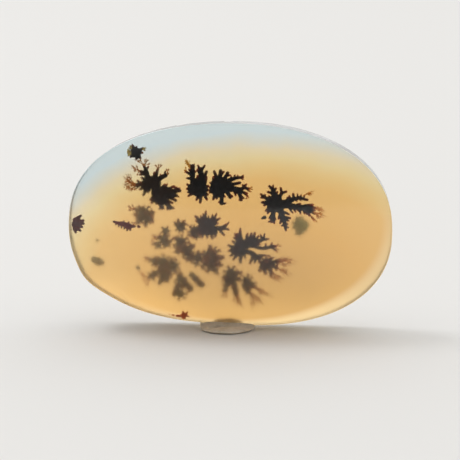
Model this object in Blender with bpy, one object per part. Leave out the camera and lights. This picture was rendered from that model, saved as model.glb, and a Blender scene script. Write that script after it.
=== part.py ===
"""An oval dendritic agate cabochon that stands on its long edge in a small pad of putty.

The moss-like sprays inside the stone grew along one slanting crack, so the stone is parted there into
a front and a back, with a pocket between them for each spray.

Metres, +Z up. The domed face looks along -Y and the flat back along +Y. The origin is on the
surface that the pad rests on, under the middle of the whole object.
"""

import math

import bmesh
import bpy
from mathutils import Matrix, Vector

MM = 0.001

# Driving sizes of the stone: its oval face, and its depth from the crown of the dome to the flat back
LENGTH = 30.0 * MM
HEIGHT = 19.0 * MM
DOME_RISE = 2.8 * MM
GIRDLE_DEPTH = 2.7 * MM

# The oval is a little squarer than an ellipse, slightly turned, and cut by eye, so a three-lobed wobble
# remains, and one tighter corner at the lower left
OVAL_POWER = 2.313
OVAL_TURN = math.radians(-0.7)
OVAL_WOBBLE = (-0.0067, -0.0084)
CORNER_SWELL = 0.0181
CORNER_ANGLE = math.radians(202.6)
CORNER_SPREAD = 0.114

# The edges of the stone, each given as how far the oval is drawn in from its widest line
RIM_BEVEL = 0.14 * MM
GIRDLE_TAPER = 0.22 * MM
BACK_BEVEL = 0.30 * MM
DOME_ARC = 1.30

# Driving sizes of the putty: its footprint, how high it is squeezed up, and how thin it is under the stone
PAD_LENGTH = 5.8 * MM
PAD_DEPTH = 5.8 * MM
PAD_SIDE_SHIFT = -0.4 * MM
PAD_FRONT_HEIGHT = 0.42 * MM
PAD_BACK_HEIGHT = 1.80 * MM
PAD_PROUD_OF_BACK = 0.70 * MM
STONE_LIFT = 0.45 * MM
CONTACT_GAP = 0.10 * MM

# The crack that the sprays lie on: how deep it is under the dome at the middle of the stone, how much
# deeper for each unit of way down and to the left, its least and greatest depth, and how far back it may go
CRACK_DEPTH = 1.25 * MM
CRACK_FALL = 0.41
CRACK_LEFT_FALL = 0.20
CRACK_LEAST = 0.50 * MM
CRACK_MOST = 3.40 * MM
CRACK_TO_BACK = 0.80 * MM
CRACK_GAP = 0.08 * MM

# The sprays of moss: how thick they are, how wide the tips of their lobes, and the room round them
SPRAY_THICKNESS = 0.40 * MM
LOBE_WIDTH = 0.36 * MM
POCKET_GAP = 0.06 * MM
NOTCH_STEP = 60

# Each spray: its heart across and up from the middle of the stone and the heart's radius, in millimetres,
# and its lobes as the bearing in degrees and the reach in millimetres from the heart
SPRAYS = {
    "spray_hedgehog_top_left": (
        (-8.6, 6.6),
        0.50,
        [(35, 0.8), (82, 0.6), (126, 0.8), (170, 0.7), (225, 0.6), (345, 0.6)],
    ),
    "spray_upper_left": (
        (-6.5, 3.3),
        0.95,
        [(5, 2.2), (30, 1.6), (65, 2.0), (92, 2.2), (118, 2.8), (138, 2.5), (170, 2.2)]
        + [(202, 1.5), (245, 1.5), (281, 1.9), (308, 2.2), (339, 2.0)],
    ),
    "spray_upper_middle_left": (
        (-2.7, 3.9),
        0.75,
        [(62, 1.7), (82, 2.0), (107, 2.2), (130, 1.9), (150, 1.4), (220, 1.3), (270, 1.5), (305, 1.4)],
    ),
    "spray_upper_middle_right": (
        (-0.6, 4.0),
        0.85,
        [(7, 2.3), (24, 2.3), (64, 1.5), (94, 1.6), (119, 1.6), (144, 1.1)]
        + [(234, 1.5), (272, 1.7), (308, 1.4), (327.5, 2.0), (342, 2.5), (355, 2.7)],
    ),
    "spray_upper_right": (
        (4.6, 2.3),
        0.80,
        [(20, 2.6), (59, 1.4), (82, 1.6), (115, 1.9), (148, 1.9), (171, 1.6), (216, 1.3)]
        + [(248, 1.8), (287, 2.5), (345, 3.1), (357, 3.3)],
    ),
    "spray_centre": (
        (-1.9, 0.1),
        0.75,
        [(0, 1.9), (35, 1.5), (55, 1.7), (93, 1.5), (140, 1.5)]
        + [(205, 1.7), (254, 1.2), (295, 1.3), (334, 1.9)],
    ),
    "spray_lower_centre": (
        (1.4, -1.7),
        0.80,
        [(1, 2.9), (24, 2.5), (38, 2.2), (55, 1.7), (99, 1.8), (124, 1.5), (177, 1.2)]
        + [(202, 1.4), (233, 1.6), (259, 1.7), (294, 1.7), (334, 1.7)],
    ),
    "spray_lower_right_lobe": (
        (3.5, -3.4),
        0.60,
        [(17, 1.2), (75, 0.7), (127, 0.6), (203, 0.9), (248, 0.9), (289, 1.1), (340, 0.9)],
    ),
    "spray_left_bush": (
        (-7.7, 0.8),
        0.60,
        [(25, 1.0), (75, 0.8), (115, 1.0), (150, 1.1), (185, 1.0), (229, 1.2), (277, 1.0), (323, 0.9)],
    ),
    "spray_round_bud": (
        (-4.4, -0.1),
        0.45,
        [(60, 0.7), (106, 0.8), (143, 0.7), (225, 0.5), (300, 0.5)],
    ),
    "spray_deep_upper_left": (
        (-5.9, -1.4),
        0.50,
        [(20, 0.5), (85, 1.2), (172, 0.9), (205, 1.2), (302, 0.8)],
    ),
    "spray_deep_left": (
        (-4.1, -2.2),
        0.65,
        [(26, 1.0), (115.5, 1.3), (141, 1.1), (203, 0.9), (299, 1.1), (330, 0.9)],
    ),
    "spray_deep_centre": (
        (-2.0, -3.0),
        0.75,
        [(6, 1.5), (45, 1.2), (75, 1.3), (142, 1.1), (195, 1.2)]
        + [(240, 1.2), (268, 1.3), (303, 1.7), (338, 1.4)],
    ),
    "spray_deep_lower_left": (
        (-6.0, -3.9),
        0.75,
        [(12, 1.4), (60, 0.9), (98, 1.0), (150, 1.5), (215, 1.8), (254, 1.6), (282, 1.3), (341, 1.2)],
    ),
    "spray_deep_lower_middle": (
        (-4.6, -5.6),
        0.40,
        [(83, 1.1), (130, 0.55), (226, 0.9), (275, 1.1), (349, 1.1)],
    ),
    "spray_deep_lower_streak": ((-3.1, -5.0), 0.25, [(135, 0.75), (315, 0.75)]),
    "spray_deep_lower_right": (
        (0.1, -4.6),
        0.50,
        [(22, 1.1), (87, 0.8), (189, 0.8), (247, 1.5), (283, 1.7), (333, 0.9)],
    ),
    "spray_deep_lower_right_lobe": (
        (1.7, -5.0),
        0.40,
        [(60, 0.55), (141, 0.6), (237, 0.9), (270, 1.1), (325, 0.8)],
    ),
    "spray_deep_cloud_left": ((-12.1, -3.8), 0.40, [(150, 0.6), (330, 0.6)]),
}

OVAL_STEPS = 72
DOME_STEPS = 10
CRACK_CELL = 2.0 * MM
PAD_STEPS = 48
PAD_RINGS = 9

# Places along Y, worked out so that the whole object is centred on the origin
WHOLE_DEPTH = DOME_RISE + GIRDLE_DEPTH + PAD_PROUD_OF_BACK
CROWN_Y = -WHOLE_DEPTH / 2
RIM_Y = CROWN_Y + DOME_RISE
BACK_Y = RIM_Y + GIRDLE_DEPTH
PAD_BACK_Y = WHOLE_DEPTH / 2
PAD_MIDDLE_Y = PAD_BACK_Y - PAD_DEPTH / 2
STONE_MIDDLE_Z = STONE_LIFT + HEIGHT / 2


def clear_scene():
    for thing in list(bpy.data.objects):
        bpy.data.objects.remove(thing, do_unlink=True)


def plain_material(name, colour, roughness):
    material = bpy.data.materials.new(name)
    material.use_nodes = True
    shader = material.node_tree.nodes["Principled BSDF"]
    shader.inputs["Base Color"].default_value = (*colour, 1.0)
    shader.inputs["Roughness"].default_value = roughness
    shader.inputs["Metallic"].default_value = 0.0
    return material


def raw_oval_point(angle):
    """A point of the oval before it is centred and brought to size, with the half length near 1."""
    flatness = HEIGHT / LENGTH
    across = abs(math.cos(angle)) ** OVAL_POWER
    up = abs(math.sin(angle) / flatness) ** OVAL_POWER
    wobble = OVAL_WOBBLE[0] * math.cos(3 * angle) + OVAL_WOBBLE[1] * math.sin(3 * angle)
    corner = CORNER_SWELL * math.exp(-(((angle - CORNER_ANGLE) / CORNER_SPREAD) ** 2))
    reach = (across + up) ** (-1 / OVAL_POWER) * (1 + wobble + corner)
    turned = angle + OVAL_TURN
    return reach * math.cos(turned), reach * math.sin(turned)


def oval_points():
    """The stone's outline in X and Z about its own middle, LENGTH long and HEIGHT high."""
    raw = [raw_oval_point(2 * math.pi * step / OVAL_STEPS) for step in range(OVAL_STEPS)]
    spans = []
    for axis, size in ((0, LENGTH), (1, HEIGHT)):
        low = min(point[axis] for point in raw)
        high = max(point[axis] for point in raw)
        spans.append(((low + high) / 2, size / (high - low)))
    (middle_x, scale_x), (middle_z, scale_z) = spans
    return [((x - middle_x) * scale_x, (z - middle_z) * scale_z) for x, z in raw]


def dome_height(share):
    """Height of the dome over the rim, from 1 at the middle to 0 where share is 1: a shallow circular arc."""
    foot = math.sqrt(DOME_ARC**2 - 1)
    return (math.sqrt(DOME_ARC**2 - share**2) - foot) / (DOME_ARC - foot)


def stone_profile():
    """Pairs of (scale of the oval across and up, place along Y), from the crown to the flat back."""

    def drawn_in(distance):
        return 1 - 2 * distance / LENGTH, 1 - 2 * distance / HEIGHT

    profile = []
    rim_scale = drawn_in(RIM_BEVEL)
    for step in range(1, DOME_STEPS + 1):
        share = math.sin(math.pi / 2 * step / DOME_STEPS)
        scale = (share * rim_scale[0], share * rim_scale[1])
        profile.append((scale, RIM_Y - RIM_BEVEL - (DOME_RISE - RIM_BEVEL) * dome_height(share)))
    profile.append((drawn_in(0.0), RIM_Y))
    profile.append((drawn_in(GIRDLE_TAPER), BACK_Y - BACK_BEVEL))
    profile.append((drawn_in(GIRDLE_TAPER + BACK_BEVEL), BACK_Y))
    return profile


def face_outward(shape):
    """Turns the faces of one closed shape outward."""
    bmesh.ops.recalc_face_normals(shape, faces=shape.faces)
    if shape.calc_volume(signed=True) < 0:
        bmesh.ops.reverse_faces(shape, faces=shape.faces)


def finished_solid(name, shape):
    """An object of the scene from a closed shape."""
    mesh = bpy.data.meshes.new(name)
    shape.to_mesh(mesh)
    shape.free()
    solid = bpy.data.objects.new(name, mesh)
    bpy.context.scene.collection.objects.link(solid)
    return solid


def loft(name, rings):
    """A closed solid through rings of points in order. Its first end is flat and its last end is peaked."""
    shape = bmesh.new()
    last_edges = None
    for points in rings:
        ring = [shape.verts.new(point) for point in points]
        edges = [shape.edges.new((ring[i - 1], ring[i])) for i in range(len(ring))]
        if last_edges is None:
            bmesh.ops.contextual_create(shape, geom=edges)
        else:
            bmesh.ops.bridge_loops(shape, edges=last_edges + edges)
        last_edges = edges
    cap = bmesh.ops.contextual_create(shape, geom=last_edges)["faces"]
    bmesh.ops.poke(shape, faces=cap)
    face_outward(shape)
    return finished_solid(name, shape)


def loft_stone(name, grow):
    """The stone as rings of the oval from the flat back to the crown. grow makes it larger all round."""
    outline = oval_points()
    wider = (1 + 2 * grow / LENGTH, 1 + 2 * grow / HEIGHT)
    deeper = (WHOLE_DEPTH + 2 * grow) / WHOLE_DEPTH
    rings = []
    for scale, place_y in reversed(stone_profile()):
        across = scale[0] * wider[0]
        up = scale[1] * wider[1]
        rings.append([(x * across, place_y * deeper, STONE_MIDDLE_Z + z * up) for x, z in outline])
    return loft(name, rings)


def crack_place(x, z):
    """Where the crack lies along Y, for a place across and up from the middle of the stone."""
    share = (abs(2 * x / LENGTH) ** OVAL_POWER + abs(2 * z / HEIGHT) ** OVAL_POWER) ** (1 / OVAL_POWER)
    dome = RIM_Y - DOME_RISE * dome_height(min(1.0, share))
    depth = CRACK_DEPTH - CRACK_FALL * z - CRACK_LEFT_FALL * x
    return min(BACK_Y - CRACK_TO_BACK, dome + min(CRACK_MOST, max(CRACK_LEAST, depth)))


def crack_block(name, shift):
    """A block that holds all in front of the crack. shift moves its crack face along Y."""
    shape = bmesh.new()
    cells = (math.ceil(LENGTH / CRACK_CELL) + 2, math.ceil(HEIGHT / CRACK_CELL) + 2)
    upright = Matrix.Rotation(math.pi / 2, 4, "X")
    bmesh.ops.create_grid(shape, x_segments=cells[0], y_segments=cells[1], size=0.5, matrix=upright)
    bmesh.ops.scale(shape, verts=shape.verts, vec=(cells[0] * CRACK_CELL, 1.0, cells[1] * CRACK_CELL))
    front = bmesh.ops.extrude_face_region(shape, geom=shape.faces[:])["geom"]
    front_corners = {part for part in front if isinstance(part, bmesh.types.BMVert)}
    for corner in shape.verts:
        on_crack = crack_place(corner.co.x, corner.co.z) + shift
        corner.co.y = -WHOLE_DEPTH if corner in front_corners else on_crack
    bmesh.ops.triangulate(shape, faces=shape.faces[:], quad_method="FIXED")
    bmesh.ops.translate(shape, verts=shape.verts, vec=(0.0, 0.0, STONE_MIDDLE_Z))
    face_outward(shape)
    return finished_solid(name, shape)


def spray_plate(spray, grow):
    """The shape of a spray, a lobed plate that follows the crack. grow makes it that much larger."""
    (heart_x, heart_z), radius, lobes = spray
    shape = bmesh.new()
    half_tip = math.degrees(1) * (LOBE_WIDTH / 2 + grow)
    outline = []
    for (bearing, reach), (next_bearing, _) in zip(lobes, lobes[1:] + lobes[:1]):
        far = reach * MM + grow
        outline += [(bearing - half_tip / far, far), (bearing + half_tip / far, far)]
        gap = (next_bearing - bearing) % 360
        notches = max(1, round(gap / NOTCH_STEP))
        for notch in range(notches):
            outline.append((bearing + gap * (notch + 0.5) / notches, radius * MM + grow))
    heart = Vector((heart_x * MM, 0.0, heart_z * MM))
    edges = []
    for side in (-1, 1):
        out_from_crack = side * (SPRAY_THICKNESS / 2 + grow)
        ring = []
        for bearing, far in outline:
            turn = math.radians(bearing)
            tip = heart + far * Vector((math.cos(turn), 0.0, math.sin(turn)))
            y = crack_place(tip.x, tip.z) + out_from_crack
            ring.append(shape.verts.new((tip.x, y, STONE_MIDDLE_Z + tip.z)))
        rim = [shape.edges.new((ring[i - 1], ring[i])) for i in range(len(ring))]
        cap = bmesh.ops.contextual_create(shape, geom=rim)["faces"]
        middle = bmesh.ops.poke(shape, faces=cap)["verts"][0]
        y = crack_place(heart.x, heart.z) + out_from_crack
        middle.co = (heart.x, y, STONE_MIDDLE_Z + heart.z)
        edges += rim
    bmesh.ops.bridge_loops(shape, edges=edges)
    face_outward(shape)
    return shape


def pad_height(y):
    """How high the putty would stand at a place along Y: low before the stone and squeezed up behind it."""
    share = (y - (PAD_MIDDLE_Y - PAD_DEPTH / 4)) / (PAD_DEPTH / 2)
    share = min(1.0, max(0.0, share))
    rise = share * share * (3 - 2 * share)
    return PAD_FRONT_HEIGHT + (PAD_BACK_HEIGHT - PAD_FRONT_HEIGHT) * rise


def loft_pad(name):
    """The putty as a pressed lump with a flat foot, before the stone's groove is cut from it."""
    rings = []
    for level in range(PAD_RINGS):
        lift = math.pi / 2 * level / PAD_RINGS
        reach = math.cos(lift) ** 0.45
        climb = math.sin(lift) ** 0.8
        ring = []
        for step in range(PAD_STEPS):
            angle = 2 * math.pi * step / PAD_STEPS
            uneven = 1 - 0.03 * (1 - math.cos(3 * angle)) * abs(math.cos(angle))
            x = PAD_SIDE_SHIFT + PAD_LENGTH / 2 * reach * uneven * math.cos(angle)
            y = PAD_MIDDLE_Y + PAD_DEPTH / 2 * reach * math.sin(angle)
            ring.append((x, y, climb * pad_height(y)))
        rings.append(ring)
    return loft(name, rings)


def cut_with(thing, cutter, operation, solver):
    """Cuts a solid with another that is only a cutter."""
    cutter.hide_render = True
    cutter.display_type = "WIRE"
    cut = thing.modifiers.new(cutter.name, "BOOLEAN")
    cut.operation = operation
    cut.solver = solver
    cut.object = cutter


def shade(thing, angle_degrees):
    thing.data.shade_smooth()
    thing.data.set_sharp_from_angle(angle=math.radians(angle_degrees))


def build():
    clear_scene()

    # The sprays: black manganese oxide, and the room that they take up in the stone
    pockets = bmesh.new()
    moss = plain_material("manganese_moss", (0.02, 0.014, 0.01), 0.8)
    for name, spray in SPRAYS.items():
        plate = finished_solid(name, spray_plate(spray, 0.0))
        plate.data.materials.append(moss)
        room = finished_solid(name + "_room", spray_plate(spray, POCKET_GAP))
        pockets.from_mesh(room.data)
        bpy.data.objects.remove(room, do_unlink=True)
    pocket_cutter = finished_solid("pocket_cutter", pockets)

    # The stone: translucent honey chalcedony, domed in front and flat behind, parted along the crack
    agate = plain_material("polished_agate", (0.73, 0.45, 0.16), 0.12)
    agate.node_tree.nodes["Principled BSDF"].inputs["Transmission Weight"].default_value = 0.8
    for name, side, operation in (("agate_front", -1, "INTERSECT"), ("agate_back", 1, "DIFFERENCE")):
        half = loft_stone(name, 0.0)
        half.data.materials.append(agate)
        cut_with(half, crack_block(name + "_block", side * CRACK_GAP / 2), operation, "MANIFOLD")
        cut_with(half, pocket_cutter, "DIFFERENCE", "MANIFOLD")
        shade(half, 25)

    # The putty: a pale pressed lump with the groove that the stone stands in
    pad = loft_pad("putty_rest")
    pad.data.materials.append(plain_material("pale_putty", (0.62, 0.54, 0.44), 0.75))
    cut_with(pad, loft_stone("stone_groove_cutter", CONTACT_GAP), "DIFFERENCE", "EXACT")
    shade(pad, 40)


build()
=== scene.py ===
import math
import random

import bmesh
import bpy
from mathutils import Matrix, Vector, noise
from mathutils.bvhtree import BVHTree
from mathutils.kdtree import KDTree


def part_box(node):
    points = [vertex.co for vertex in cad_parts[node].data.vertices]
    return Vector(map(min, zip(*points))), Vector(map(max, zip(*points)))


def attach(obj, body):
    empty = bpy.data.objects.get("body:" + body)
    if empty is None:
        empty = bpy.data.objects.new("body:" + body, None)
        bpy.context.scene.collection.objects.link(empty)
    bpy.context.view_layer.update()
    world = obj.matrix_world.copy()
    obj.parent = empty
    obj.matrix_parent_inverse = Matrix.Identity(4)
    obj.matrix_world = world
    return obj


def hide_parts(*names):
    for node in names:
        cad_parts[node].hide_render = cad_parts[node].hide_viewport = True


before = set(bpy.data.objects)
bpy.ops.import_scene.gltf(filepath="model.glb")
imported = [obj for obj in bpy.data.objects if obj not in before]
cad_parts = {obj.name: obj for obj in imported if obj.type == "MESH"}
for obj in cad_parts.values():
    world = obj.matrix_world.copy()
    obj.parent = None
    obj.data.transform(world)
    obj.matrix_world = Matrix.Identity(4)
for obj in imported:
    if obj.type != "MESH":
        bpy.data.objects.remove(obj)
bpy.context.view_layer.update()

# The view. The photograph looks at the domed face from a little to its right and 12 degrees above, and
# from far enough off that the oval keeps its proportions. The moss inside the stone is placed along the
# same lines of sight, so the camera is set up first.
MM = 0.001
VIEW_TURN = math.radians(5.0)
VIEW_HEIGHT = math.radians(12.0)
VIEW_DISTANCE = 400.0
PHOTO_SIDE = 460
PIXEL = 0.0923
STONE_IN_PHOTO = (229.9, 224.7)
SENSOR_WIDTH = 36.0

front_low, front_high = (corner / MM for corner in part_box("agate_front"))
back_low, back_high = (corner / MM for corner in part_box("agate_back"))
stone_low = Vector(map(min, front_low, back_low))
stone_high = Vector(map(max, front_high, back_high))
stone_middle = (stone_low + stone_high) / 2
stone_size = stone_high - stone_low

backwards = Vector(
    (
        math.sin(VIEW_TURN) * math.cos(VIEW_HEIGHT),
        -math.cos(VIEW_TURN) * math.cos(VIEW_HEIGHT),
        math.sin(VIEW_HEIGHT),
    )
)
view_turned = (-backwards).to_track_quat("-Z", "Y")
view_right = view_turned @ Vector((1.0, 0.0, 0.0))
view_up = view_turned @ Vector((0.0, 1.0, 0.0))


def offset_in_view(pixel_x, pixel_y):
    """How far a pixel lies from the middle of the picture, in millimetres at the stone."""
    half = PHOTO_SIDE / 2
    return view_right * (pixel_x - half) * PIXEL + view_up * (half - pixel_y) * PIXEL


looked_at = stone_middle - offset_in_view(*STONE_IN_PHOTO)
eye = looked_at + backwards * VIEW_DISTANCE

camera_data = bpy.data.cameras.new("camera")
camera_data.sensor_width = SENSOR_WIDTH
camera_data.lens = SENSOR_WIDTH * VIEW_DISTANCE / (PHOTO_SIDE * PIXEL)
camera_data.clip_start = 0.01
camera_data.clip_end = 20.0
camera = bpy.data.objects.new("camera", camera_data)
camera.location = eye * MM
camera.rotation_mode = "QUATERNION"
camera.rotation_quaternion = view_turned
bpy.context.scene.collection.objects.link(camera)
bpy.context.scene.camera = camera
bpy.context.scene.view_settings.view_transform = "Standard"

# The agate: one piece of translucent chalcedony, sawn, ground on a wheel to an oval dome with a narrow
# girdle and a flat back, and polished. It is honey yellow inside and turns bluish white under its upper
# edge, partly its own opalescent colour and partly painted light: sky light from above painted into the
# base colour. A few tiny chips are left along the back edge of the girdle.
DOME_RISE = 2.8
RIM_BEVEL = 0.14
GIRDLE_TAPER = 0.22
BACK_BEVEL = 0.30
DOME_ARC = 1.30
OVAL_POWER = 2.313
OVAL_TURN = math.radians(-0.7)
OVAL_WOBBLE = (-0.0067, -0.0084)
CORNER_SWELL = 0.0181
CORNER_ANGLE = math.radians(202.6)
CORNER_SPREAD = 0.114
OVAL_STEPS = 240
DOME_STEPS = 44
EDGE_STEPS = 4
GIRDLE_STEPS = 8
AGATE_IOR = 1.54
HONEY_MIDDLE = (2.4, -6.0)
HONEY_REACH = (22.8, 15.9)
FADE_BEHIND_RIM = 0.6
# Base colours from the deep honey middle out to the upper edge; the bluish white end is partly painted sky
# light.
HONEY_TO_SKYLIT_WHITE = (
    (0.25, "CB7F2C"), (0.48, "E89232"), (0.7, "F5A542"), (0.755, "F7B653"), (0.79, "F9C162"),
    (0.828, "F9D179"), (0.878, "F3D797"), (0.926, "DBDDC7"), (0.972, "C9E6F0"),
)
CLOUD_SIZE = 3.2
CLOUD_SHIFT = 0.06
LOWER_RIGHT = (0.60, 0.0, -0.80)
# The colour of a painted glow in the thin lower right rim.
RIM_LIGHT = "FFC46C"
RIM_LIGHT_FROM = 0.92
RIM_LIGHT_MOST = 0.8
GIRDLE_COLOURS = ((0.0, "F4CE90"), (1.0, "9DB0BD"))
GIRDLE_BLEND = 4.0
BACK_COLOUR = "FBFAF6"
POLISHING_LINES = 260.0
POLISHING_DEPTH = 0.004
CHIP_ANGLES = (151.0, 133.0, 118.0, 92.0)
CHIP_RADIUS = 0.45
CHIP_BITE = 0.14
CHIP_GRAIN = 0.4
CHIP_SLANT = 0.6

# Settings that several shader nodes share.
SMOOTH = {"interpolation_type": "SMOOTHSTEP"}
MIX_COLOURS = {"data_type": "RGBA"}


def linear(colour):
    """An sRGB colour written as six hex digits, as the linear red, green, blue and alpha of a shader."""
    parts = [int(colour[at : at + 2], 16) / 255 for at in (0, 2, 4)]
    return [part / 12.92 if part <= 0.04045 else ((part + 0.055) / 1.055) ** 2.4 for part in parts] + [1.0]


def add_node(tree, kind, settings=None, inputs=None):
    """Adds a shader node. An input that is given a node or a socket is linked to it, any other is set."""
    node = tree.nodes.new("ShaderNode" + kind)
    for name, value in (settings or {}).items():
        setattr(node, name, value)
    for name, value in (inputs or {}).items():
        if isinstance(value, bpy.types.Node):
            value = next(socket for socket in value.outputs if socket.enabled)
        if isinstance(value, bpy.types.NodeSocket):
            tree.links.new(value, node.inputs[name])
        else:
            node.inputs[name].default_value = value
    return node


def colour_ramp(node, stops):
    """Gives a colour ramp its stops, as pairs of place and hex colour."""
    ramp = node.color_ramp
    while len(ramp.elements) < len(stops):
        ramp.elements.new(1.0)
    for element, (place, colour) in zip(ramp.elements, stops):
        element.position = place
        element.color = linear(colour)


def new_material(name, **values):
    """A material of that name with the given Principled BSDF values, its node tree and its shader."""
    material = bpy.data.materials.new(name)
    material.use_nodes = True
    shader = material.node_tree.nodes["Principled BSDF"]
    for socket, value in values.items():
        shader.inputs[socket.replace("_", " ")].default_value = value
    return material, material.node_tree, shader


def finished_piece(name, shape, material):
    """Makes an object of the scene, in metres, from a shape that is drawn in millimetres."""
    bmesh.ops.scale(shape, verts=shape.verts, vec=(MM, MM, MM))
    mesh = bpy.data.meshes.new(name)
    shape.to_mesh(mesh)
    shape.free()
    mesh.materials.append(material)
    piece = bpy.data.objects.new(name, mesh)
    bpy.context.scene.collection.objects.link(piece)
    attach(piece, "root")
    return piece


def raw_oval_point(angle):
    """A point of the cutter's oval: squarer than an ellipse, uneven, and tighter at one lower corner."""
    across = abs(math.cos(angle)) ** OVAL_POWER
    up = abs(math.sin(angle) * stone_size.x / stone_size.z) ** OVAL_POWER
    wobble = OVAL_WOBBLE[0] * math.cos(3 * angle) + OVAL_WOBBLE[1] * math.sin(3 * angle)
    corner = CORNER_SWELL * math.exp(-(((angle - CORNER_ANGLE) / CORNER_SPREAD) ** 2))
    reach = (across + up) ** (-1 / OVAL_POWER) * (1 + wobble + corner)
    return Vector((reach * math.cos(angle + OVAL_TURN), 0.0, reach * math.sin(angle + OVAL_TURN)))


def dome_height(share):
    """Height of the dome over the rim, from 1 at the middle to 0 where share is 1."""
    foot = math.sqrt(DOME_ARC**2 - 1)
    return (math.sqrt(DOME_ARC**2 - share**2) - foot) / (DOME_ARC - foot)


def drawn_in(distance):
    """The scale that draws the oval in by a distance, across and up."""
    return 1 - 2 * distance / stone_size.x, 1 - 2 * distance / stone_size.z


def stone_rings():
    """Pairs of (scale of the oval, place along Y) from the crown of the dome to the flat back."""
    rim_y = stone_low.y + DOME_RISE
    rim_scale = drawn_in(RIM_BEVEL)
    rings = []
    for step in range(1, DOME_STEPS + 1):
        share = math.sin(math.pi / 2 * step / DOME_STEPS)
        place = rim_y - RIM_BEVEL - (DOME_RISE - RIM_BEVEL) * dome_height(share)
        rings.append(((share * rim_scale[0], share * rim_scale[1]), place))
    for step in range(1, EDGE_STEPS + 1):
        turn = math.pi / 2 * step / EDGE_STEPS
        rings.append((drawn_in(RIM_BEVEL * (1 - math.sin(turn))), rim_y - RIM_BEVEL * math.cos(turn)))
    girdle_end = stone_high.y - BACK_BEVEL
    for step in range(1, GIRDLE_STEPS + 1):
        share = step / GIRDLE_STEPS
        rings.append((drawn_in(GIRDLE_TAPER * share), rim_y + (girdle_end - rim_y) * share))
    for step in range(1, EDGE_STEPS + 1):
        share = step / EDGE_STEPS
        rings.append((drawn_in(GIRDLE_TAPER + BACK_BEVEL * share), girdle_end + BACK_BEVEL * share))
    return rings


def stone_shape():
    """The cut stone: the oval is drawn out ring by ring from the crown to the back, and closed."""
    raw = [raw_oval_point(2 * math.pi * step / OVAL_STEPS) for step in range(OVAL_STEPS)]
    low = Vector((min(point.x for point in raw), 0.0, min(point.z for point in raw)))
    high = Vector((max(point.x for point in raw), 0.0, max(point.z for point in raw)))
    rings = stone_rings()
    (across, up), place = rings[0]
    shape = bmesh.new()
    first = []
    for point in raw:
        x = (point.x - (low.x + high.x) / 2) * stone_size.x / (high.x - low.x)
        z = (point.z - (low.z + high.z) / 2) * stone_size.z / (high.z - low.z)
        first.append(shape.verts.new((x * across, place, z * up)))
    edges = [shape.edges.new((first[at - 1], first[at])) for at in range(OVAL_STEPS)]
    bmesh.ops.contextual_create(shape, geom=edges)
    for (next_across, next_up), next_place in rings[1:]:
        drawn = bmesh.ops.extrude_edge_only(shape, edges=edges)["geom"]
        corners = [part for part in drawn if isinstance(part, bmesh.types.BMVert)]
        edges = [part for part in drawn if isinstance(part, bmesh.types.BMEdge)]
        bmesh.ops.scale(shape, verts=corners, vec=(next_across / across, 1.0, next_up / up))
        bmesh.ops.translate(shape, verts=corners, vec=(0.0, next_place - place, 0.0))
        across, up, place = next_across, next_up, next_place
    bmesh.ops.contextual_create(shape, geom=edges)
    bmesh.ops.translate(shape, verts=shape.verts, vec=(stone_middle.x, 0.0, stone_middle.z))
    bmesh.ops.recalc_face_normals(shape, faces=shape.faces)
    return shape


def on_oval(tree, where, middle, reach):
    """A place on the face in half widths of an oval, and how far out it lies, with 1 on the oval."""
    oval = add_node(tree, "Mapping", {"vector_type": "TEXTURE"}, {
        "Vector": where,
        "Location": (middle[0] * MM, 0.0, middle[1] * MM),
        "Scale": (reach[0] * MM, 1.0, reach[1] * MM),
    })
    flat = add_node(tree, "VectorMath", {"operation": "MULTIPLY"}, {0: oval, 1: (1.0, 0.0, 1.0)})
    return flat, add_node(tree, "VectorMath", {"operation": "LENGTH"}, {0: flat})


# Transmission with a rough skin blurs what lies deep in the stone and leaves what lies near the dome
# sharp, as the milky body of chalcedony does. The clear coat is the polish.
agate, tree, shader = new_material(
    "polished_chalcedony",
    Roughness=0.31,
    IOR=AGATE_IOR,
    Transmission_Weight=1.0,
    Coat_Weight=0.5,
    Coat_Roughness=0.03,
    Coat_IOR=AGATE_IOR,
)
shader.inputs["Specular IOR Level"].default_value = 0.0
where = add_node(tree, "TexCoord").outputs["Object"]
_, honey_reach = on_oval(tree, where, (HONEY_MIDDLE[0], stone_middle.z + HONEY_MIDDLE[1]), HONEY_REACH)
from_middle, to_rim = on_oval(tree, where, (0.0, stone_middle.z), (stone_size.x / 2, stone_size.z / 2))
clouds = add_node(tree, "TexNoise", {}, {
    "Vector": where, "Scale": 1 / (CLOUD_SIZE * MM), "Detail": 3.0, "Roughness": 0.45,
})
cloudy_reach = add_node(
    tree, "Math", {"operation": "MULTIPLY_ADD"}, {0: clouds, 1: CLOUD_SHIFT, 2: honey_reach}
)
# Painted light: the base colour runs from deep honey low down to bluish white under the upper edge, partly
# the stone's own opalescence and partly painted sky light from above.
body = add_node(tree, "ValToRGB", {}, {"Fac": cloudy_reach})
colour_ramp(body, HONEY_TO_SKYLIT_WHITE)

# A painted glow: the base colour turns a brighter warm tone in the thin rim at the lower right, for light
# that has crossed the stone and gathers there.
to_lower_right = add_node(
    tree, "VectorMath", {"operation": "DOT_PRODUCT"}, {0: from_middle, 1: LOWER_RIGHT}
)
thin_rim = add_node(
    tree, "MapRange", SMOOTH, {"Value": to_rim, "From Min": RIM_LIGHT_FROM, "To Max": RIM_LIGHT_MOST}
)
low_rim = add_node(tree, "MapRange", SMOOTH, {"Value": to_lower_right, "From Min": 0.1, "From Max": 0.8})
rim_light = add_node(tree, "Math", {"operation": "MULTIPLY"}, {0: thin_rim, 1: low_rim})
lit_body = add_node(tree, "Mix", MIX_COLOURS, {"Factor": rim_light, "A": body, "B": linear(RIM_LIGHT)})

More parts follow.
